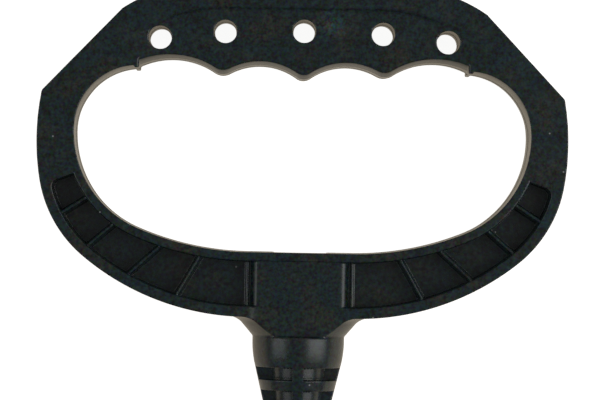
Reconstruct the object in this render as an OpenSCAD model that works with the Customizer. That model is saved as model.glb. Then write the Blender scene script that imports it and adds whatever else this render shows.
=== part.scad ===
// D-shaped pull handle for a recoil starter, moulded in one piece of black plastic.
//
// The handle lies on its back. X runs across it, +Y up the pull axis from the rope to the grip, and +Z out
// of the front face. The mould closed on the plane halfway between the two faces, and both halves are alike.
// In the modules, heights are measured up the pull axis from the shoulders, the two corners where the
// sloping sides of the grip meet the side limbs, and z is measured from the middle plane. The last module
// moves the whole handle so that it rests on z = 0, centred over the origin.

/* [Outer outline] */
// Width across the side limbs, where the handle is widest
handle_w = 134.6; // [130:0.2:142]
// Thickness from the front face to the back face
body_t = 20; // [18:0.5:22]
// Height of the flat top edge above the shoulders
top_h = 27.7; // [26.5:0.1:30]
// Width of the flat part of the top edge
top_flat_w = 49; // [40:0.2:56]
// How far in from the widest point the upper corners are, where the top edge meets the sloping sides
corner_in = 21.1; // [18:0.05:23]
// Height of the upper corners above the shoulders
corner_h = 21.05; // [19:0.05:22.5]
// How far below the shoulders the side limbs are widest
limb_drop = 11.8; // [9:0.1:14]
// Radius of the outward bow of the side limbs
limb_r = 63.5; // [55:0.5:90]
// How far round that radius runs below the widest point, in degrees
limb_turn = 9.6; // [6:0.1:13]
// Radius of the lower outer corners
bow_corner_r = 32; // [29:0.5:34]
// Depth of the lower edge below the shoulders
bow_bottom = 56.5; // [55.6:0.1:58]
// Distance of the lower edge's deepest points from the pull axis, where the neck covers it
bow_centre_x = 13.9; // [12:0.1:15]

/* [Hand loop] */
// Thickness of the side limbs between the opening for the hand and the handle's widest point
limb_t = 9.55; // [7.6:0.05:11]
// How far below the shoulders the opening is widest
loop_drop = 9.9; // [8:0.1:11]
// Radius of the upper corners of the opening
loop_upper_r = 16.5; // [16:0.1:19]
// Radius of the lower corners of the opening
loop_lower_r = 26.5; // [24:0.1:28]
// Depth of the lower edge of the opening below the shoulders
loop_bottom = 40; // [39:0.1:41]
// Width of the flat part of that edge
loop_flat_w = 26.4; // [22:0.2:32]

/* [Grip] */
// Distance from the side of the opening to the small step at each end of the finger grip
grip_end_in = 16.1; // [15.5:0.1:17.5]
// Width of the small tooth at that step
grip_tooth_w = 1.2; // [0.8:0.1:1.6]
// How far the tooth stands into the opening
grip_tooth_h = 0.5; // [0.2:0.1:0.8]
// Radius of the middle grooves for the fingers, on the middle plane
inner_finger_r = 15.8; // [15:0.1:17.5]
// Distance of the middle grooves from the pull axis, as a share of half the grip's width
inner_finger_at = 0.262; // [0.24:0.001:0.27]
// Height of the middle grooves' deepest points above the shoulders
inner_finger_h = 7.5; // [7:0.1:9]
// Radius of the end grooves, on the middle plane
outer_finger_r = 19.4; // [18:0.1:20.5]
// Distance of the end grooves from the pull axis, as a share of half the grip's width
outer_finger_at = 0.797; // [0.77:0.001:0.81]
// Height of the end grooves' deepest points above the shoulders
outer_finger_h = 8.8; // [8:0.1:9.4]
// How much deeper the grooves are at the faces than on the middle plane
finger_crown = 1.8; // [0.8:0.1:2.2]
// Height above the shoulders at which the ridge on the pull axis is blunted
ridge_h = 3.9; // [3:0.1:5]
// Height above the shoulders at which the other two ridges are blunted
outer_ridge_h = 4.8; // [4:0.1:5.5]
// Diameter of the holes through the grip
grip_hole_d = 5.8; // [4:0.1:6.5]
// Height of the hole on the pull axis
mid_hole_h = 16.1; // [15:0.1:17]
// Distance of the next holes from the pull axis, as a share of half the grip's width
inner_hole_at = 0.48; // [0.41:0.001:0.55]
// Height of the next holes
inner_hole_h = 15.7; // [14:0.1:16.5]
// Distance of the end holes from the pull axis, as a share of half the grip's width
outer_hole_at = 0.876; // [0.82:0.001:0.91]
// Height of the end holes
outer_hole_h = 13.9; // [13.5:0.1:14.5]

/* [Set-back face of the grip] */
// How far the face behind the fingers is set back
setback = 1.2; // [0.6:0.1:2]
// Height of its upper edge above the shoulders
setback_top = 21.7; // [20.5:0.1:23]
// Width of the flat part of that edge
setback_flat_w = 38; // [30:0.5:44]
// Radius that the edge bends down with
setback_r = 42; // [36:0.5:50]
// Slope at which the bent edge runs out, in degrees
setback_slope = 27; // [22:0.5:30]
// How far beyond each end of the grip the set-back face runs out
setback_run = 8.4; // [6:0.1:9.5]
// Distance over which it rises there to the front face
setback_fade = 20; // [10:0.5:24]

/* [Ribbed bow] */
// Thickness of the rim next to the hand
inner_rim_t = 2.3; // [1.8:0.1:3]
// Thickness of the outer rim
outer_rim_t = 2.8; // [2:0.1:3.5]
// Thickness of the web between the front and the back pockets
web_t = 6; // [3:0.5:10]
// Thickness of the ribs
rib_t = 0.9; // [0.7:0.1:1.4]
// How far the ribs stop below the rims
rib_drop = 0.5; // [0.2:0.1:1]
// How far in from the handle's widest point each slanting rib leaves the inner rim
rib_in = [41.9, 31.8, 19.8, 12.9]; // [11:0.1:47]
// Slope of each slanting rib below the horizontal, in degrees
rib_slope = [60, 42.3, 40.8, 32.5]; // [25:0.1:70]
// How far in from the handle's widest point the pockets end
pocket_end_in = 9.5; // [8.6:0.1:10.5]
// Slope of that end below the horizontal, in degrees
pocket_end_slope = 20.4; // [10:0.1:25]

/* [Rope block] */
// Width of the block that the rope runs through
block_w = 23.7; // [22:0.1:25]
// How far the block's faces are set back from the rims
block_drop = 0.4; // [0.2:0.1:1]
// Radius of the block's long edges
block_edge_r = 1.5; // [0.8:0.1:2.5]
// Width of the slot between the block and the first rib
block_gap = 1; // [0.8:0.1:1.5]
// Diameter of the bore for the rope
rope_bore_d = 6; // [4.5:0.1:6.6]
// Diameter of the pocket for the rope's knot
knot_pocket_d = 13; // [11:0.1:14]
// Depth of that pocket
knot_pocket_depth = 10; // [6:0.5:13]

/* [Neck] */
// Radius of the barrel at the top of the neck
neck_r = 11.7; // [11.3:0.1:12.5]
// Depth of the barrel's upper edge below the shoulders
barrel_top = 61.3; // [60.5:0.1:63]
// Length of the barrel
barrel_len = 4.3; // [2:0.1:5]
// Slope of the taper below the barrel, in degrees
taper_angle = 13.4; // [11:0.1:13.8]
// Depth of the neck's end below the shoulders
neck_end = 94; // [93:0.1:96]
// Slope of the flare where the neck spreads into the bow, in degrees
flare_angle = 49.5; // [42:0.5:52]
// Depth of the first groove below the shoulders
groove_start = 69.2; // [68.5:0.1:70]
// Width of the grooves
groove_w = 3.2; // [2:0.1:3.6]
// Distance from one groove to the next
groove_pitch = 5.85; // [5:0.05:6]
// Number of grooves
grooves = 4; // [2:1:4]
// Radius of the neck's core in the first groove
core_r = 6.9; // [6.3:0.1:8]
// Radius of the core at the neck's end
core_end_r = 4.4; // [4.2:0.05:4.6]
// Thickness of the four webs that cross the grooves
neck_web_t = 2.8; // [2:0.1:4]

/* [Hidden] */
$fn = 96;

// Extra length that a cutter runs past the face it opens
over = 1;
// How far a curve stands proud of the edge that it runs into, so that the two cross and don't only touch
blend = 0.02;
half_t = body_t / 2;
pocket_depth = (body_t - web_t) / 2;
block_half_t = half_t - block_drop;
loop_w = handle_w - 2 * limb_t;
grip_half_w = loop_w / 2 - grip_end_in;
setback_half_w = grip_half_w + setback_run;
pocket_end_x = handle_w / 2 - pocket_end_in;
// Radius of the curve across a finger groove, through its middle and its two edges
crown_r = (half_t * half_t + finger_crown * finger_crown) / (2 * finger_crown);
inner_finger_x = inner_finger_at * grip_half_w;
outer_finger_x = outer_finger_at * grip_half_w;
lift = max(neck_r, half_t);
middle_h = (top_h - neck_end) / 2;

// Radius of an arc that leaves a level line and passes through a point dx along and dy off that line
function arc_through(dx, dy) = (dx * dx + dy * dy) / (2 * dy);

// Radius of an arc that leaves a level line and runs into a smaller arc of radius r inside it, whose centre
// lies dx along and dy off the line
function arc_into(dx, dy, r) = (dx * dx + dy * dy - r * r) / (2 * (dy - r));

// Point on a circle
function on_circle(centre, r, angle) = centre + r * [cos(angle), sin(angle)];

// Direction from one centre to another
function direction(from, to) = atan2(to.y - from.y, to.x - from.x);

// Right-hand side of the outer outline, from the lower edge up
limb_c = [handle_w / 2 - limb_r, -limb_drop];
bow_corner_c = on_circle(limb_c, limb_r - bow_corner_r, -limb_turn);
bow_r = arc_into(bow_corner_c.x - bow_centre_x, bow_bottom + bow_corner_c.y, bow_corner_r);
bow_c = [bow_centre_x, bow_r - bow_bottom];
shoulder = on_circle(limb_c, limb_r, asin(limb_drop / limb_r));
upper_corner = [handle_w / 2 - corner_in, corner_h];
side_slope = direction(upper_corner, shoulder);
top_r = arc_through(upper_corner.x - top_flat_w / 2, top_h - corner_h);
top_c = [top_flat_w / 2, top_h - top_r];

// Right-hand side of the hand loop, from the lower edge up
loop_upper_c = [loop_w / 2 - loop_upper_r, -loop_drop];
loop_lower_c = [loop_w / 2 - loop_lower_r, -loop_drop];
loop_r = arc_into(loop_lower_c.x - loop_flat_w / 2, loop_bottom - loop_drop, loop_lower_r);
loop_c = [loop_flat_w / 2, loop_r - loop_bottom];
loop_turn = direction(loop_c, loop_lower_c);

// Height of the inner rim's lower edge at a distance from the pull axis
function arc_h(centre, r, x) = centre.y - sqrt(r * r - pow(x - centre.x, 2));
function rim_h(x) = x < on_circle(loop_c, loop_r + inner_rim_t, loop_turn).x
    ? arc_h(loop_c, loop_r + inner_rim_t, x)
    : arc_h(loop_lower_c, loop_lower_r + inner_rim_t, x);

// Radius of the neck's taper and of its core at a depth below the shoulders
function taper_r(depth) = neck_r - (depth - barrel_top - barrel_len) * tan(taper_angle);
function core_at(depth) =
    core_r + (core_end_r - core_r) * (depth - groove_start) / (neck_end - groove_start);

// Everything to the right of a line that leaves a point at an angle
module right_of(point, angle) {
    translate(point) rotate(angle) translate([-2 * handle_w, -4 * handle_w]) square(4 * handle_w);
}

// Rounds a corner of the children: cuts it off along the chord between two points, and fills in the disc
module rounded_corner(centre, r, from, to) {
    intersection() {
        children();
        right_of(from, direction(from, to));
    }
    translate(centre) circle(r = r + blend);
}

// Area inside the outer outline, on the right of the pull axis, with its edge moved in by a distance. The
// lower edge is level near the axis, a hair inside the curve that it runs into.
module outer_half(inset) {
    top_end = on_circle(top_c, top_r - inset, 90);
    intersection() {
        translate([-over, -handle_w]) square(2 * handle_w);
        right_of(upper_corner - inset * [-sin(side_slope), cos(side_slope)], side_slope);
        rounded_corner(top_c, top_r - inset, top_end, upper_corner - [inset, inset])
            right_of([0, top_h - inset], 0);
        rounded_corner(bow_corner_c, bow_corner_r - inset,
                       on_circle(bow_corner_c, bow_corner_r - inset, -limb_turn),
                       on_circle(bow_corner_c, bow_corner_r - inset, direction(bow_c, bow_corner_c)))
            intersection() {
                translate(limb_c) circle(r = limb_r - inset);
                union() {
                    translate(bow_c) circle(r = bow_r - inset);
                    translate([-over, inset + blend - bow_bottom]) square([bow_centre_x + over, bow_r]);
                }
            }
    }
}

// Area of the hand loop, on the right of the pull axis, with its edge moved out by a distance. It is level
// in the middle, and each tighter curve stands a hair proud of the one before.
module loop_half(grow) {
    low = -loop_bottom - grow;
    flat = loop_flat_w / 2;
    far = on_circle(loop_c, loop_r + grow + over, loop_turn);
    // Shallow curve
    intersection() {
        translate(loop_c) circle(r = loop_r + grow + blend);
        polygon([[flat / 2, -loop_drop], [flat / 2, low - over], [far.x, low - over], far, loop_lower_c]);
    }
    // Lower corner
    intersection() {
        translate(loop_lower_c) circle(r = loop_lower_r + grow + 2 * blend);
        right_of(loop_lower_c, 0);
    }
    // Upper corner
    translate(loop_upper_c) circle(r = loop_upper_r + grow + 3 * blend);
    // Middle
    polygon([
        [-over, low],
        [flat, low],
        loop_lower_c - [0, over],
        loop_upper_c,
        [loop_upper_c.x, 0],
        [-over, 0],
    ]);
}

module both_sides() {
    children();
    mirror([1, 0, 0]) children();
}

module both_faces() {
    children();
    mirror([0, 0, 1]) children();
}

// Straight-walled part of the hand loop, which stops at the ridges of the finger grip and at its end teeth
module loop_opening() {
    tooth_bottom = loop_upper_r - loop_drop - grip_tooth_h;
    linear_extrude(body_t + 2 * over, center = true) both_sides() difference() {
        union() {
            loop_half(0);
            translate([-over, -loop_drop]) square([loop_upper_c.x + over, loop_drop + outer_ridge_h + over]);
        }
        translate([-2 * over, ridge_h]) square([inner_finger_x + 2 * over, loop_upper_r]);
        translate([inner_finger_x, outer_ridge_h]) square([grip_half_w - inner_finger_x, loop_upper_r]);
        translate([grip_half_w - over, tooth_bottom]) square([grip_tooth_w + over, loop_upper_r]);
    }
}

// One finger groove: a waisted disc, so that the grip is rounded from face to face
module finger_groove(x, h, r) {
    translate([x, h - r, 0]) rotate_extrude() difference() {
        translate([0, -half_t - over]) square([r + finger_crown + over, body_t + 2 * over]);
        translate([r + crown_r, 0]) circle(r = crown_r, $fn = 180);
    }
}

// The grooves end at the grip's end steps
module finger_grooves() {
    intersection() {
        union() both_sides() {
            finger_groove(inner_finger_x, inner_finger_h, inner_finger_r);
            finger_groove(outer_finger_x, outer_finger_h, outer_finger_r);
        }
        cube([2 * grip_half_w, 4 * top_h, 2 * body_t], center = true);
    }
}

module grip_hole(x, h) {
    translate([x, h, 0]) cylinder(d = grip_hole_d, h = body_t + 2 * over, center = true);
}

module grip_holes() {
    grip_hole(0, mid_hole_h);
    both_sides() {
        grip_hole(inner_hole_at * grip_half_w, inner_hole_h);
        grip_hole(outer_hole_at * grip_half_w, outer_hole_h);
    }
}

// Area of the set-back face: everything under its upper edge, which is level in the middle and bends down
module setback_area() {
    centre = [setback_flat_w / 2, setback_top - setback_r];
    bend = on_circle(centre, setback_r, 90 - setback_slope);
    both_sides() intersection() {
        translate([-over, 0]) square([2 * setback_half_w, top_h]);
        rounded_corner(centre, setback_r, on_circle(centre, setback_r, 90), bend)
            intersection() {
                right_of([0, setback_top], 0);
                right_of(bend, -setback_slope);
            }
    }
}

// The set-back face is level in the middle and rises gently to the front face at both ends
module grip_setback() {
    intersection() {
        translate([0, 0, half_t - 2 * setback]) linear_extrude(2 * setback + over) setback_area();
        rotate([90, 0, 0]) linear_extrude(4 * top_h, center = true) both_sides() polygon([
            [-over, half_t - setback],
            [setback_half_w - setback_fade, half_t - setback],
            [setback_half_w, half_t],
            [setback_half_w + over, half_t + over],
            [-over, half_t + over],
        ]);
    }
}

// The channel between the two rims of the bow, from the slot beside the rope block to its slanting end
module channel_area() {
    intersection() {
        difference() {
            outer_half(outer_rim_t);
            loop_half(inner_rim_t);
        }
        right_of([pocket_end_x, rim_h(pocket_end_x)], -pocket_end_slope);
        translate([block_w / 2, -handle_w]) square(handle_w);
    }
}

// The ribs across the channel: one along the rope block's slot, and four slanting ones
module rib_area() {
    translate([block_w / 2 + block_gap, -2 * bow_bottom]) square([rib_t, 2 * bow_bottom]);
    for (i = [0:len(rib_in) - 1]) {
        x = handle_w / 2 - rib_in[i];
        translate([x, rim_h(x)]) rotate(-rib_slope[i])
            translate([-bow_corner_r / 2, -rib_t / 2]) square([bow_corner_r * 1.5, rib_t]);
    }
}

// Pockets in the front face of the bow's right half. The ribs stop a little below the rims.
module bow_pockets() {
    translate([0, 0, half_t - pocket_depth]) linear_extrude(pocket_depth + over) difference() {
        channel_area();
        rib_area();
    }
    translate([0, 0, half_t - rib_drop]) linear_extrude(rib_drop + over) channel_area();
}

// Cut that sets the rope block's front face back and rounds its long edges
module block_cut() {
    top = loop_bottom + inner_rim_t;
    length = barrel_top + over - top;
    translate([0, -top, 0]) rotate([90, 0, 0]) linear_extrude(length) difference() {
        translate([-block_w / 2, block_half_t - block_edge_r])
            square([block_w, block_edge_r + block_drop + over]);
        translate([-block_w / 2 + block_edge_r, 0]) square([block_w - 2 * block_edge_r, block_half_t]);
        both_sides() translate([block_w / 2 - block_edge_r, block_half_t - block_edge_r])
            circle(r = block_edge_r);
    }
}

// The neck's body of revolution, without its grooves, from inside the bow to the rope's end
module neck_body() {
    rotate([90, 0, 0]) rotate_extrude() polygon([
        [0, barrel_top],
        [neck_r, barrel_top],
        [neck_r, barrel_top + barrel_len],
        [taper_r(neck_end), neck_end],
        [0, neck_end],
    ]);
}

// The flare between neck and bow, cut off flush with the rope block's faces
module neck_flare() {
    rise = barrel_top - bow_bottom + outer_rim_t / 2;
    intersection() {
        rotate([90, 0, 0]) rotate_extrude() polygon([
            [0, barrel_top - rise],
            [neck_r + rise / tan(flare_angle), barrel_top - rise],
            [neck_r, barrel_top],
            [neck_r, barrel_top + barrel_len / 2],
            [0, barrel_top + barrel_len / 2],
        ]);
        cube([handle_w, 4 * neck_end, 2 * block_half_t], center = true);
    }
}

// Rings of material taken out round the neck's core, with four webs left across each
module neck_grooves() {
    difference() {
        rotate([90, 0, 0]) rotate_extrude() for (i = [0:grooves - 1]) {
            top = groove_start + i * groove_pitch;
            polygon([
                [core_at(top), top],
                [neck_r + over, top],
                [neck_r + over, top + groove_w],
                [core_at(top + groove_w), top + groove_w],
            ]);
        }
        cube([neck_web_t, 4 * neck_end, 4 * neck_r], center = true);
        cube([4 * neck_r, 4 * neck_end, neck_web_t], center = true);
    }
}

// The rope runs up the neck into a pocket that holds its knot and opens into the hand loop
module rope_way() {
    rotate([90, 0, 0]) translate([0, 0, loop_bottom + knot_pocket_depth - over])
        cylinder(d = rope_bore_d, h = neck_end);
    rotate([90, 0, 0]) translate([0, 0, loop_bottom - over])
        cylinder(d = knot_pocket_d, h = knot_pocket_depth + over);
}

module moulding() {
    difference() {
        linear_extrude(body_t, center = true) both_sides() outer_half(0);
        loop_opening();
        finger_grooves();
        grip_holes();
        both_faces() {
            grip_setback();
            both_sides() bow_pockets();
            block_cut();
        }
    }
    neck_flare();
    neck_body();
}

module handle() {
    color([0.10, 0.11, 0.11]) translate([0, -middle_h, lift]) difference() {
        moulding();
        neck_grooves();
        rope_way();
    }
}

handle();
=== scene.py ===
import math

import bpy
import numpy as np
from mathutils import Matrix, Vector


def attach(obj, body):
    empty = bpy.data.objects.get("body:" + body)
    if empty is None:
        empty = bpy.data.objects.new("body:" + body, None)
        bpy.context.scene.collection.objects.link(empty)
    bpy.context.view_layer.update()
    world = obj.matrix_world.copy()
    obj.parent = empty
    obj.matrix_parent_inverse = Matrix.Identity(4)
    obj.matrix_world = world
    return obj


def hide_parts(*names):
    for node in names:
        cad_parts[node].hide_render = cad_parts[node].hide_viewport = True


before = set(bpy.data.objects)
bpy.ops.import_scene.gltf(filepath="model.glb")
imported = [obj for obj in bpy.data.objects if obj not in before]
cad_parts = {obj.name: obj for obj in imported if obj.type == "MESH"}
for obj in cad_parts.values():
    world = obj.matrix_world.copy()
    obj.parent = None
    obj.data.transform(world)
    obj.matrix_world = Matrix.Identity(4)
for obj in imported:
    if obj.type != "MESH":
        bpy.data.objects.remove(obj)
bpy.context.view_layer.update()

# The handle is worked out in millimetres, in the part's own terms: u across from the pull axis, v up the pull axis
# from the shoulders, and z from the middle plane. The driving dimensions are those of the CAD model.
MM = 0.001

# Outer outline
HANDLE_W = 134.6
HALF_T = 10.0
TOP_H = 27.7
TOP_FLAT_W = 49.0
CORNER_IN = 21.1
CORNER_H = 21.05
LIMB_DROP = 11.8
LIMB_R = 63.5
LIMB_TURN = 9.6
BOW_CORNER_R = 32.0
BOW_BOTTOM = 56.5
BOW_CENTRE_X = 13.9

# Hand loop
LIMB_T = 9.55
LOOP_DROP = 9.9
LOOP_UPPER_R = 16.5
LOOP_LOWER_R = 26.5
LOOP_BOTTOM = 40.0
LOOP_FLAT_W = 26.4

# Grip
GRIP_END_IN = 16.1
GRIP_TOOTH_W, GRIP_TOOTH_H = 1.2, 0.5
INNER_FINGER_AT, INNER_FINGER_H, INNER_FINGER_R = 0.262, 7.5, 15.8
OUTER_FINGER_AT, OUTER_FINGER_H, OUTER_FINGER_R = 0.797, 8.8, 19.4
FINGER_CROWN = 1.8
GRIP_HOLE_D = 5.8
GRIP_HOLES = [(0.0, 16.1), (0.48, 15.7), (0.876, 13.9)]

# Set-back face of the grip
SETBACK = 1.2
SETBACK_TOP = 21.7
SETBACK_FLAT_W = 38.0
SETBACK_R = 42.0
SETBACK_SLOPE = 27.0
SETBACK_RUN = 8.4
SETBACK_FADE = 20.0

# Ribbed bow
INNER_RIM_T = 2.3
OUTER_RIM_T = 2.8
WEB_T = 6.0
RIB_T = 0.9
RIB_DROP = 0.5
RIB_IN = [41.9, 31.8, 19.8, 12.9]
RIB_SLOPE = [60.0, 42.3, 40.8, 32.5]
POCKET_END_IN = 9.5
POCKET_END_SLOPE = 20.4

# Rope block
BLOCK_W = 23.7
BLOCK_DROP = 0.4
BLOCK_GAP = 1.0
ROPE_BORE_D = 6.0
KNOT_POCKET_D = 13.0
KNOT_POCKET_DEPTH = 10.0

# Neck
NECK_R = 11.7
BARREL_TOP = 61.3
BARREL_LEN = 4.3
TAPER_ANGLE = 13.4
NECK_END = 94.0
FLARE_ANGLE = 49.5
GROOVE_START = 69.2
GROOVE_W = 3.2
GROOVE_PITCH = 5.85
GROOVES = 4
CORE_R, CORE_END_R = 6.9, 4.4
NECK_WEB_T = 2.8

# What the solids leave out: the mould's draft, the flash on its parting plane, and the radii of its edges
WALL_DRAFT = 0.15
LOOP_DRAFT = 0.7
POCKET_DRAFT = 1.0
FLASH_H, FLASH_W = 0.12, 0.5
LOOP_CROWN = 0.5
GRIP_ROUND_T = 4.5
GRIP_BOTTOM = 2.5
WITNESS_H, WITNESS_W = 0.02, 0.8
CORNER_R = 0.2
OUTER_EDGE_R = 0.12
LOOP_EDGE_R = 0.12
GRIP_EDGE_R = 0.5
RIDGE_R = 2.2
STEP_R = 0.3
HOLE_EDGE_R = 0.15
RIM_EDGE_R = 0.45
POCKET_CORNER_R = 1.8
POCKET_FILLET_R = 0.15
RIB_DRAFT = 3.5
FIRST_RIB_DROP, FIRST_RIB_R = 2.2, 0.35
BLOCK_GROWTH, BLOCK_EDGE_R = 0.6, 2.6
SLOT_DEPTH = 3.0
RIB_GROWTH, RIB_EDGE_R = 0.15, 0.5
RIB_FILLET_R = 0.15
SETBACK_SOFT = 1.6
PLATE_SOFT = 0.6
PLATE_SIDE_SOFT = 3.0
FLARE_OVAL = 1.04
FLARE_FILLET_R = 1.5
LEDGE_R = 0.6
GROOVE_EDGE_R = 0.15
BORE_EDGE_R = 0.4

# Spacing of the grid that the skin is found on, and how many triangles the skin keeps
GRID = 0.4
TRIANGLES = 180000


def arc_through(dx, dy):
    """Radius of an arc that leaves a level line and passes through a point dx along and dy off that line."""
    return (dx * dx + dy * dy) / (2 * dy)


def arc_into(dx, dy, r):
    """Radius of an arc that leaves a level line and runs into a smaller arc of radius r inside it."""
    return (dx * dx + dy * dy - r * r) / (2 * (dy - r))


def on_circle(centre, r, degrees):
    turn = math.radians(degrees)
    return (centre[0] + r * math.cos(turn), centre[1] + r * math.sin(turn))


def direction(start, end):
    return math.degrees(math.atan2(end[1] - start[1], end[0] - start[0]))


# Outer outline, right-hand side, from the lower edge up
LIMB_C = (HANDLE_W / 2 - LIMB_R, -LIMB_DROP)
BOW_CORNER_C = on_circle(LIMB_C, LIMB_R - BOW_CORNER_R, -LIMB_TURN)
BOW_R = arc_into(BOW_CORNER_C[0] - BOW_CENTRE_X, BOW_BOTTOM + BOW_CORNER_C[1], BOW_CORNER_R)
BOW_C = (BOW_CENTRE_X, BOW_R - BOW_BOTTOM)
SHOULDER = on_circle(LIMB_C, LIMB_R, math.degrees(math.asin(LIMB_DROP / LIMB_R)))
UPPER_CORNER = (HANDLE_W / 2 - CORNER_IN, CORNER_H)
TOP_R = arc_through(UPPER_CORNER[0] - TOP_FLAT_W / 2, TOP_H - CORNER_H)
TOP_C = (TOP_FLAT_W / 2, TOP_H - TOP_R)

# Hand loop, right-hand side
LOOP_W = HANDLE_W - 2 * LIMB_T
GRIP_HALF_W = LOOP_W / 2 - GRIP_END_IN
LOOP_UPPER_C = (LOOP_W / 2 - LOOP_UPPER_R, -LOOP_DROP)
LOOP_LOWER_C = (LOOP_W / 2 - LOOP_LOWER_R, -LOOP_DROP)
LOOP_R = arc_into(LOOP_LOWER_C[0] - LOOP_FLAT_W / 2, LOOP_BOTTOM - LOOP_DROP, LOOP_LOWER_R)
LOOP_C = (LOOP_FLAT_W / 2, LOOP_R - LOOP_BOTTOM)
LOOP_TURN = direction(LOOP_C, LOOP_LOWER_C)

SETBACK_C = (SETBACK_FLAT_W / 2, SETBACK_TOP - SETBACK_R)
SETBACK_BEND = on_circle(SETBACK_C, SETBACK_R, 90 - SETBACK_SLOPE)
BLOCK_H = HALF_T - BLOCK_DROP
BLOCK_TOP = -LOOP_BOTTOM - INNER_RIM_T

# From the part's own terms to the shared frame
MIDDLE_H = (TOP_H - NECK_END) / 2
LIFT = NECK_R


def both(a, b, r=0.0):
    """Distance to what lies in both shapes, with the edge between them rounded."""
    corner = np.hypot(np.maximum(a + r, 0), np.maximum(b + r, 0))
    return np.minimum(np.maximum(a, b) + r, 0) + corner - r


def either(a, b, r=0.0):
    """Distance to what lies in either shape, with the corner between them filled to a radius."""
    return -both(-a, -b, r)


def without(a, b, r=0.0):
    """Distance to the first shape with the second cut out of it, and the edges of the cut rounded."""
    return both(a, -b, r)


def disc(u, v, centre, r):
    return np.hypot(u - centre[0], v - centre[1]) - r


def bowl(u, v, centre, r):
    """A disc that is level below its centre and runs straight on towards the axis."""
    return np.hypot(np.maximum(u - centre[0], 0), np.minimum(v - centre[1], 0)) - r


def dome(u, v, centre, r):
    """The same, upside down."""
    return np.hypot(np.maximum(u - centre[0], 0), np.maximum(v - centre[1], 0)) - r


def left_of(u, v, point, degrees):
    """Distance to the left of a line that leaves a point at an angle."""
    turn = math.radians(degrees)
    return (v - point[1]) * math.cos(turn) - (u - point[0]) * math.sin(turn)


def seen_between(u, v, centre, start, end):
    """Whether the direction from a centre lies between two angles."""
    turn = np.degrees(np.arctan2(v - centre[1], u - centre[0]))
    return (turn > start) & (turn < end)


def smooth(t):
    """A soft step from 0 to 1 as t goes from 0 to 1."""
    t = np.clip(t, 0, 1)
    return t * t * (3 - 2 * t)


def rim_h(x):
    """Height of the inner rim's lower edge at a distance from the pull axis."""
    shallow = LOOP_R + INNER_RIM_T
    if x < on_circle(LOOP_C, shallow, LOOP_TURN)[0]:
        return LOOP_C[1] - math.sqrt(shallow ** 2 - (x - LOOP_C[0]) ** 2)
    return LOOP_LOWER_C[1] - math.sqrt((LOOP_LOWER_R + INNER_RIM_T) ** 2 - (x - LOOP_LOWER_C[0]) ** 2)


def outline(u, v):
    """Distance to the handle's outer outline, without its neck."""
    upper = left_of(u, v, UPPER_CORNER, direction(UPPER_CORNER, SHOULDER))
    at_top = seen_between(u, v, TOP_C, direction(TOP_C, UPPER_CORNER), 180)
    upper = np.where(at_top, np.maximum(upper, dome(u, v, TOP_C, TOP_R)), upper)
    sides = np.maximum(disc(u, v, LIMB_C, LIMB_R), bowl(u, v, BOW_C, BOW_R))
    at_corner = seen_between(u, v, BOW_CORNER_C, direction(BOW_C, BOW_CORNER_C), -LIMB_TURN)
    lower = np.where(at_corner, disc(u, v, BOW_CORNER_C, BOW_CORNER_R), sides)
    return both(upper, lower, CORNER_R)


def loop(u, v):
    """Distance to the hand loop, without its finger grip."""
    upper = dome(u, v, LOOP_UPPER_C, LOOP_UPPER_R)
    at_corner = seen_between(u, v, LOOP_LOWER_C, LOOP_TURN, 0)
    lower = np.where(at_corner, disc(u, v, LOOP_LOWER_C, LOOP_LOWER_R), bowl(u, v, LOOP_C, LOOP_R))
    return np.where(v > -LOOP_DROP, upper, lower)


def swell(z):
    """How far the finger grip's rounded edges fall back: 0 at the middle plane and up to them, and 1 at the faces."""
    t = np.clip((z - HALF_T) / GRIP_ROUND_T + 1, 0, 1)
    return 0.58 * t + 0.42 * t ** 5


def parted(z):
    """How far the walls of the openings stand out: they taper to the faces from a thin flash between the moulds."""
    return math.tan(math.radians(LOOP_DRAFT)) * (HALF_T / 2 - z) + FLASH_H * (1 - smooth(z / FLASH_W))


def opening(u, v, z):
    """Distance to the hand loop with its finger grooves, which are straight across the middle and rounded back
    towards the faces.
    """
    crown = FINGER_CROWN * swell(z)
    inner_x, outer_x = INNER_FINGER_AT * GRIP_HALF_W, OUTER_FINGER_AT * GRIP_HALF_W
    across = disc(u, v, (-inner_x, INNER_FINGER_H - INNER_FINGER_R), INNER_FINGER_R + crown)
    inner = disc(u, v, (inner_x, INNER_FINGER_H - INNER_FINGER_R), INNER_FINGER_R + crown)
    outer = disc(u, v, (outer_x, OUTER_FINGER_H - OUTER_FINGER_R), OUTER_FINGER_R + crown)
    grooves = either(either(across, inner, RIDGE_R), outer, RIDGE_R)
    grip = np.maximum(u - GRIP_HALF_W, GRIP_BOTTOM - v)
    tooth = np.maximum(u - GRIP_HALF_W - GRIP_TOOTH_W, LOOP_UPPER_R - LOOP_DROP - GRIP_TOOTH_H - v)
    rounded = LOOP_CROWN * (0.5 - swell(z)) * smooth(v / LOOP_DROP + 1)
    straight = without(loop(u, v) + rounded, np.minimum(grip, tooth + rounded), STEP_R)
    return either(straight, both(grooves, u - GRIP_HALF_W, STEP_R), STEP_R) + parted(z)


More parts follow.
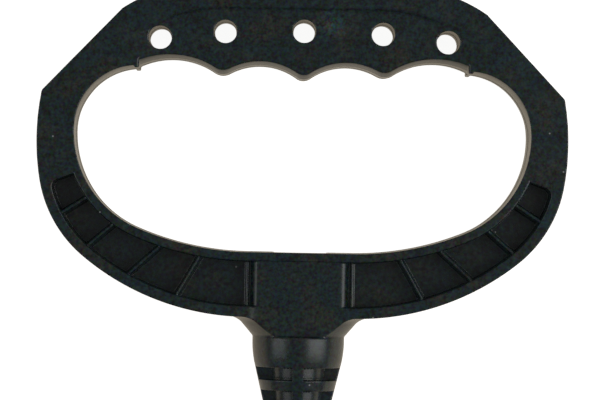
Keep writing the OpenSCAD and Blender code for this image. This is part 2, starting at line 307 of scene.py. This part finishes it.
def face_h(u, v):
    """Height of the face above the middle plane: set back behind the fingers and at the rope block, softly."""
    bent = left_of(u, v, SETBACK_BEND, -SETBACK_SLOPE)
    beyond_bend = seen_between(u, v, SETBACK_C, -90, 90 - SETBACK_SLOPE)
    edge = np.where(beyond_bend, bent, dome(u, v, SETBACK_C, SETBACK_R))
    witness = 1 - smooth(np.abs(u - GRIP_HALF_W - GRIP_TOOTH_W / 2) / WITNESS_W)
    depth = SETBACK * smooth((GRIP_HALF_W + SETBACK_RUN - u) / SETBACK_FADE) - WITNESS_H * witness
    grip = depth * smooth(0.5 - edge / SETBACK_SOFT) * (v > -LOOP_DROP)
    across = smooth(0.5 - (u - BLOCK_W / 2) / PLATE_SIDE_SOFT)
    return HALF_T - grip - BLOCK_DROP * across * smooth(0.5 - (v - BLOCK_TOP) / PLATE_SOFT)


def pockets(u, v, z):
    """Distance to the pockets in the bow, between its rims, ribs and rope block."""
    draft = math.tan(math.radians(POCKET_DRAFT)) * (HALF_T - z)
    end = left_of(u, v, (HANDLE_W / 2 - POCKET_END_IN, rim_h(HANDLE_W / 2 - POCKET_END_IN)), -POCKET_END_SLOPE)
    channel = np.maximum(both(outline(u, v) + OUTER_RIM_T, end, POCKET_CORNER_R), INNER_RIM_T - loop(u, v))
    space = both(channel + draft, WEB_T / 2 - z, POCKET_FILLET_R)
    ribs = np.full_like(u, HANDLE_W)
    for rib_in, slope in zip(RIB_IN, RIB_SLOPE):
        start = (HANDLE_W / 2 - rib_in, rim_h(HANDLE_W / 2 - rib_in))
        ribs = np.minimum(ribs, np.abs(left_of(u, v, start, -slope)) - RIB_T / 2 - RIB_GROWTH)
    rib_draft = math.tan(math.radians(RIB_DRAFT)) * ((HALF_T + WEB_T / 2) / 2 - z)
    ribs = both(ribs - rib_draft, z - HALF_T + RIB_DROP, RIB_EDGE_R)
    past_slot = u - BLOCK_W / 2 - BLOCK_GAP
    first_rib = both(np.abs(past_slot - RIB_T / 2) - RIB_T / 2, z - HALF_T + FIRST_RIB_DROP, FIRST_RIB_R)
    block = both(u - BLOCK_W / 2 - BLOCK_GROWTH, z - BLOCK_H, BLOCK_EDGE_R)
    block = np.minimum(np.minimum(block, first_rib), np.maximum(past_slot, z - HALF_T + SLOT_DEPTH))
    return without(without(space, ribs, RIB_FILLET_R), block, RIB_FILLET_R)


def flare(u, v, z):
    """Distance to the cone that spreads from the neck into the bow, a little flatter than it is wide."""
    slope = math.radians(FLARE_ANGLE)
    cone = (np.hypot(u, z * FLARE_OVAL) - NECK_R) * math.sin(slope) - (v + BARREL_TOP) * math.cos(slope)
    return np.maximum(cone, v + BOW_BOTTOM - OUTER_RIM_T / 2)


def neck(u, v, z):
    """Distance to the neck: a barrel, then a taper with rings left between its grooves."""
    axis_r = np.hypot(u, z)
    taper = math.radians(TAPER_ANGLE)
    cone = (axis_r - NECK_R) * math.cos(taper) - (v + BARREL_TOP + BARREL_LEN) * math.sin(taper)
    body = both(both(axis_r - NECK_R, cone, LEDGE_R), v + BARREL_TOP, LEDGE_R)
    core_r = CORE_R - (v + GROOVE_START) * (CORE_END_R - CORE_R) / (NECK_END - GROOVE_START)
    web = np.minimum(u, z) - NECK_WEB_T / 2
    for i in range(GROOVES):
        middle = GROOVE_START + GROOVE_W / 2 + i * GROOVE_PITCH
        groove = both(core_r - axis_r, np.abs(v + middle) - GROOVE_W / 2, GROOVE_EDGE_R)
        body = without(body, without(groove, web), GROOVE_EDGE_R)
    return both(body, -v - NECK_END, GROOVE_EDGE_R)


def rope_way(u, v, z):
    """Distance to the rope's bore and the pocket for its knot."""
    round_axis = np.hypot(u, z)
    knot_end = LOOP_BOTTOM + KNOT_POCKET_DEPTH
    knot = both(round_axis - KNOT_POCKET_D / 2, -v - knot_end, BORE_EDGE_R)
    return both(either(knot, round_axis - ROPE_BORE_D / 2, BORE_EDGE_R), v + LOOP_BOTTOM - 3)


def handle_field(p):
    """Distance from points to the handle's skin, negative inside."""
    u, v, z = np.abs(p[:, 0]), p[:, 1], np.abs(p[:, 2])
    walls = outline(u, v) + math.tan(math.radians(WALL_DRAFT)) * z
    body = both(either(walls, flare(u, v, z), FLARE_FILLET_R), z - face_h(u, v), OUTER_EDGE_R)
    body = either(body, neck(u, v, z), RIM_EDGE_R)
    at_grip = smooth((GRIP_HALF_W + 6 - u) / 6) * smooth(v / 8 + 0.5)
    body = without(body, opening(u, v, z), LOOP_EDGE_R + (GRIP_EDGE_R - LOOP_EDGE_R) * at_grip)
    for share, height in GRIP_HOLES:
        hole = disc(u, v, (share * GRIP_HALF_W, height), GRIP_HOLE_D / 2) + parted(z)
        body = without(body, hole, HOLE_EDGE_R)
    body = without(body, pockets(u, v, z), RIM_EDGE_R)
    return without(body, rope_way(u, v, z), BORE_EDGE_R)


def slope_of(p, step=0.02):
    """Gradient of the field at points."""
    axes = np.eye(3) * step
    return np.stack([handle_field(p + a) - handle_field(p - a) for a in axes], axis=1) / (2 * step)


def settle(p, rounds):
    """Moves points onto the skin."""
    for _ in range(rounds):
        slope = slope_of(p)
        steep = np.maximum((slope ** 2).sum(axis=1), 0.25)
        step = handle_field(p) / steep
        p = p - np.clip(step, -GRID / 2, GRID / 2)[:, None] * slope
    return p


def corner_points(cells, points, slopes):
    """One point per cell, as near as can be to all the planes in which the skin crosses the cell's edges."""
    count = np.bincount(cells)[:, None]
    middle = np.stack([np.bincount(cells, points[:, k]) for k in range(3)], axis=1) / count
    offset = ((points - middle[cells]) * slopes).sum(axis=1)
    pull = np.stack([np.bincount(cells, slopes[:, k] * offset) for k in range(3)], axis=1)
    turn = [np.bincount(cells, slopes[:, j] * slopes[:, k]) for j in range(3) for k in range(3)]
    turn = np.stack(turn, axis=1).reshape(-1, 3, 3) + 0.02 * count[:, :, None] * np.eye(3)
    shift = np.linalg.solve(turn, pull[:, :, None])[:, :, 0]
    return middle + np.clip(shift, -GRID / 2, GRID / 2)


def surface_net(axes):
    """Points and quads of the skin on a grid. The first cell in x and in z straddles a plane of symmetry."""
    nodes = np.stack(np.meshgrid(*axes, indexing="ij"), axis=-1)
    field = handle_field(nodes.reshape(-1, 3)).reshape(nodes.shape[:3])
    cells = tuple(n - 1 for n in field.shape)
    crossed, crossings = [], []
    quads = []
    for axis in range(3):
        near = np.delete(field, -1, axis)
        far = np.delete(field, 0, axis)
        place = np.argwhere((near < 0) != (far < 0))
        f0, f1 = near[tuple(place.T)], far[tuple(place.T)]
        point = np.stack([axes[k][place[:, k]] for k in range(3)], axis=1)
        along = axes[axis][place[:, axis] + 1] - axes[axis][place[:, axis]]
        point[:, axis] += along * f0 / (f0 - f1)
        side, up = [(1, 2), (2, 0), (0, 1)][axis]
        ring, whole = [], np.ones(len(place), bool)
        for back_side, back_up in [(0, 0), (1, 0), (1, 1), (0, 1)]:
            cell = place.copy()
            cell[:, side] -= back_side
            cell[:, up] -= back_up
            inside = np.all((cell >= 0) & (cell < cells), axis=1)
            flat = np.ravel_multi_index(np.clip(cell, 0, np.array(cells) - 1).T, cells)
            crossed.append(flat[inside])
            crossings.append(point[inside])
            ring.append(flat)
            whole &= inside
        ring = np.stack(ring, axis=1)[whole]
        outward = (f0 < 0)[whole]
        quads.append(np.where(outward[:, None], ring, ring[:, ::-1]))
    crossings = np.concatenate(crossings)
    used, index = np.unique(np.concatenate(crossed), return_inverse=True)
    slopes = slope_of(crossings)
    points = corner_points(index, crossings, slopes / np.linalg.norm(slopes, axis=1)[:, None])
    cell_x, _, cell_z = np.unravel_index(used, cells)
    points[cell_x == 0, 0] = 0
    points[cell_z == 0, 2] = 0
    return points, np.searchsorted(used, np.concatenate(quads))


def mesh_from(name, points, faces):
    mesh = bpy.data.meshes.new(name)
    mesh.from_pydata(points.tolist(), [], faces.tolist())
    mesh.update()
    return mesh


def thinned(points, faces, triangles):
    """The same skin in fewer triangles, fewest where it is flat."""
    piece = bpy.data.objects.new("thinning", mesh_from("thinning", points, faces))
    bpy.context.scene.collection.objects.link(piece)
    modifier = piece.modifiers.new("thin", "DECIMATE")
    modifier.ratio = min(1.0, triangles / (2 * len(faces)))
    mesh = bpy.data.meshes.new_from_object(piece.evaluated_get(bpy.context.evaluated_depsgraph_get()))
    mesh.calc_loop_triangles()
    points = np.array([v.co for v in mesh.vertices])
    faces = np.array([t.vertices for t in mesh.loop_triangles])
    bpy.data.objects.remove(piece)
    bpy.data.meshes.remove(mesh)
    return points, faces


def mirrored(points, faces, axis):
    """The skin joined to its mirror image across a plane of symmetry, where its open edge lies."""
    on_plane = np.abs(points[:, axis]) < 1e-3
    points[on_plane, axis] = 0
    image = points[~on_plane].copy()
    image[:, axis] *= -1
    index = np.arange(len(points))
    index[~on_plane] = len(points) + np.arange(len(image))
    return np.concatenate([points, image]), np.concatenate([faces, index[faces][:, ::-1]])


def corner_slopes(corners):
    """Shading normals of the triangles' corners, each taken a little way inside its triangle."""
    inward = corners.mean(axis=1, keepdims=True) - corners
    length = np.linalg.norm(inward, axis=2, keepdims=True)
    slopes = slope_of((corners + inward * np.minimum(0.2, 0.15 / length)).reshape(-1, 3))
    return slopes / np.linalg.norm(slopes, axis=1)[:, None]


def handle_skin():
    """The handle's mesh, in the shared frame, shaded by the field's own slope."""
    half_w, half_depth = HANDLE_W / 2 + GRID, max(HALF_T, NECK_R) + GRID
    axes = [
        np.arange(-GRID / 2, half_w, GRID),
        np.arange(-NECK_END - 1.5 * GRID, TOP_H + GRID, GRID),
        np.arange(-GRID / 2, half_depth, GRID),
    ]
    points, faces = surface_net(axes)
    points, faces = thinned(settle(points, 2), faces, TRIANGLES // 4)
    points, faces = mirrored(*mirrored(settle(points, 2), faces, 0), 2)
    placed = (points + [0, -MIDDLE_H, LIFT]) * MM
    mesh = mesh_from("handle_skin", placed, faces)
    mesh.shade_smooth()
    mesh.normals_split_custom_set(corner_slopes(points[faces]).tolist())
    return mesh


def srgb(*levels):
    """Linear colour of 8-bit screen levels."""
    return tuple(((c / 255 + 0.055) / 1.055) ** 2.4 if c > 10 else c / 255 / 12.92 for c in levels) + (1,)


def noise(nodes, links, place, scale, detail=2.0, roughness=0.5):
    node = nodes.new("ShaderNodeTexNoise")
    node.inputs["Scale"].default_value = scale
    node.inputs["Detail"].default_value = detail
    node.inputs["Roughness"].default_value = roughness
    links.new(place, node.inputs["Vector"])
    return node


def blend(nodes, links, kind, first, second):
    """Two colours combined, each from a socket or given as a constant."""
    node = nodes.new("ShaderNodeMixRGB")
    node.blend_type = kind
    node.inputs["Fac"].default_value = 1.0
    for socket, value in ((node.inputs["Color1"], first), (node.inputs["Color2"], second)):
        if isinstance(value, tuple):
            socket.default_value = value
        else:
            links.new(value, socket)
    return node.outputs["Color"]


def ramp(nodes, links, value, stops):
    """Colours or grey levels by value, at (position, colour) stops."""
    node = nodes.new("ShaderNodeValToRGB")
    while len(node.color_ramp.elements) < len(stops):
        node.color_ramp.elements.new(0.5)
    for element, (position, colour) in zip(node.color_ramp.elements, stops):
        element.position = position
        element.color = colour
    links.new(value, node.inputs["Fac"])
    return node.outputs["Color"]


def spread(nodes, links, value, start, end, low, high):
    """A value taken from start to end spread softly from low to high."""
    node = nodes.new("ShaderNodeMapRange")
    node.interpolation_type = "SMOOTHSTEP"
    for name, level in (("From Min", start), ("From Max", end), ("To Min", low), ("To Max", high)):
        node.inputs[name].default_value = level
    links.new(value, node.inputs["Value"])
    return node.outputs["Result"]


def painted_highlight(nodes, links, place):
    """A factor on the tone: a painted highlight, paler on the face beside the middle hole."""
    away = nodes.new("ShaderNodeVectorMath")
    away.operation = "DISTANCE"
    links.new(place, away.inputs[0])
    away.inputs[1].default_value = Vector((7, 18 - MIDDLE_H, LIFT + HALF_T)) * MM
    return spread(nodes, links, away.outputs["Value"], 0, 0.0055, 2.8, 1)


def specks(nodes, links, place):
    """A few pale specks of dust."""
    cells = nodes.new("ShaderNodeTexVoronoi")
    cells.voronoi_dimensions = "2D"
    cells.inputs["Scale"].default_value = 32
    links.new(place, cells.inputs["Vector"])
    return spread(nodes, links, cells.outputs["Distance"], 0.004, 0.009, 0.25, 0)


def black_plastic():
    """Black moulded plastic: a satin skin, mottled in tone, colour and gloss, with a fine grain and a few specks."""
    material = bpy.data.materials.new("black_plastic")
    material.use_nodes = True
    nodes, links = material.node_tree.nodes, material.node_tree.links
    shader = nodes["Principled BSDF"]
    shader.inputs["IOR"].default_value = 1.5
    place = nodes.new("ShaderNodeTexCoord").outputs["Object"]

    broad = ramp(nodes, links, noise(nodes, links, place, 150, 3.0, 0.6).outputs["Fac"], [
        (0.35, srgb(15, 35, 39)),
        (0.5, srgb(20, 36, 37)),
        (0.65, srgb(34, 38, 34)),
    ])
    grey = noise(nodes, links, place, 900, 2.0, 0.6).outputs["Fac"]
    fine = blend(nodes, links, "ADD", noise(nodes, links, place, 1500, 1.0, 0.5).outputs["Color"], grey)
    fine = blend(nodes, links, "SUBTRACT", fine, (0.74, 0.74, 0.74, 1))
    tone = blend(nodes, links, "MULTIPLY", broad, blend(nodes, links, "MULTIPLY", fine, (4, 4, 4, 1)))
    # The face is paled beside the middle hole: a painted highlight.
    tone = blend(nodes, links, "MULTIPLY", tone, painted_highlight(nodes, links, place))
    links.new(blend(nodes, links, "ADD", tone, specks(nodes, links, place)), shader.inputs["Base Color"])

    gloss = noise(nodes, links, place, 140, 2.0, 0.5).outputs["Fac"]
    level = ramp(nodes, links, gloss, [(0.3, (0.25, 0.25, 0.25, 1)), (0.7, (0.31, 0.31, 0.31, 1))])
    links.new(level, shader.inputs["Roughness"])

    grain = nodes.new("ShaderNodeBump")
    grain.inputs["Strength"].default_value = 0.35
    grain.inputs["Distance"].default_value = 0.00006
    links.new(noise(nodes, links, place, 1700, 2.0, 0.6).outputs["Fac"], grain.inputs["Height"])
    sink = nodes.new("ShaderNodeBump")
    sink.inputs["Strength"].default_value = 0.4
    sink.inputs["Distance"].default_value = 0.0003
    links.new(noise(nodes, links, place, 70, 1.0, 0.5).outputs["Fac"], sink.inputs["Height"])
    links.new(grain.outputs["Normal"], sink.inputs["Normal"])
    links.new(sink.outputs["Normal"], shader.inputs["Normal"])
    return material


def seen(tree, *ways):
    """1 for rays of the named kinds, such as the camera's own, and 0 for light."""
    nodes, links = tree.nodes, tree.links
    path = nodes.new("ShaderNodeLightPath")
    value = path.outputs[ways[0]]
    for way in ways[1:]:
        either_way = nodes.new("ShaderNodeMath")
        either_way.operation = "MAXIMUM"
        links.new(value, either_way.inputs[0])
        links.new(path.outputs[way], either_way.inputs[1])
        value = either_way.outputs["Value"]
    return value


def white_floor():
    """A white floor that shows as paper white and keeps a trace of the handle's shadow."""
    mesh = mesh_from("floor", np.array([(-2, -2, 0), (2, -2, 0), (2, 2, 0), (-2, 2, 0)]), np.array([(0, 1, 2, 3)]))
    floor = bpy.data.objects.new("floor", mesh)
    bpy.context.scene.collection.objects.link(floor)
    material = bpy.data.materials.new("white_paper")
    material.use_nodes = True
    tree = material.node_tree
    shader = tree.nodes["Principled BSDF"]
    shader.inputs["Base Color"].default_value = (0.8, 0.72, 0.62, 1)
    shader.inputs["Roughness"].default_value = 0.9
    shader.inputs["Specular IOR Level"].default_value = 0.0
    colour = ramp(tree.nodes, tree.links, seen(tree, "Is Camera Ray"), [(0.0, (0.43, 0.37, 0.28, 1)), (1.0, (0.93, 0.93, 0.93, 1))])
    tree.links.new(colour, shader.inputs["Emission Color"])
    tree.links.new(seen(tree, "Is Camera Ray", "Is Glossy Ray"), shader.inputs["Emission Strength"])
    mesh.materials.append(material)


def dim_room():
    """A dim grey room as a light, that shows as white behind the floor."""
    world = bpy.data.worlds.new("room")
    bpy.context.scene.world = world
    world.use_nodes = True
    background = world.node_tree.nodes["Background"]
    background.inputs["Color"].default_value = (1, 1, 1, 1)
    nodes, links = world.node_tree.nodes, world.node_tree.links
    glow = spread(nodes, links, seen(world.node_tree, "Is Camera Ray"), 0, 1, 0.22, 1)
    links.new(glow, background.inputs["Strength"])


def softbox(name, degrees, distance, width, length, watts):
    """A soft lamp that leans off the vertical to the right of the handle, or to the left below zero."""
    light = bpy.data.lights.new(name, "AREA")
    light.shape = "RECTANGLE"
    light.size, light.size_y = width, length
    light.energy = watts
    lamp = bpy.data.objects.new(name, light)
    bpy.context.scene.collection.objects.link(lamp)
    turn = math.radians(degrees)
    lamp.location = Vector((math.sin(turn), 0, math.cos(turn))) * distance
    lamp.rotation_euler = (0, turn, 0)


def photo_camera():
    """A camera straight above the handle, placed and turned as the photograph's was."""
    camera = bpy.data.objects.new("camera", bpy.data.cameras.new("camera"))
    bpy.context.scene.collection.objects.link(camera)
    camera.location = Vector((-10.3, -3.8, LIFT + HALF_T + 950)) * MM
    camera.rotation_euler = (0, 0, math.radians(1.1))
    camera.data.sensor_width = 36
    camera.data.lens = 225.5
    camera.data.shift_x = 0.067
    camera.data.shift_y = 0.0667
    camera.data.clip_start = 0.05
    bpy.context.scene.camera = camera


photo_camera()
white_floor()
dim_room()
softbox("lamp_left", -50, 0.9, 0.55, 0.6, 1.25)
softbox("lamp_right", 47, 0.9, 0.75, 0.6, 3.0)
bpy.context.scene.view_settings.view_transform = "Standard"

handle = bpy.data.objects.new("starter_handle", handle_skin())
bpy.context.scene.collection.objects.link(handle)
handle.data.materials.append(black_plastic())
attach(handle, "root")
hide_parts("handle")
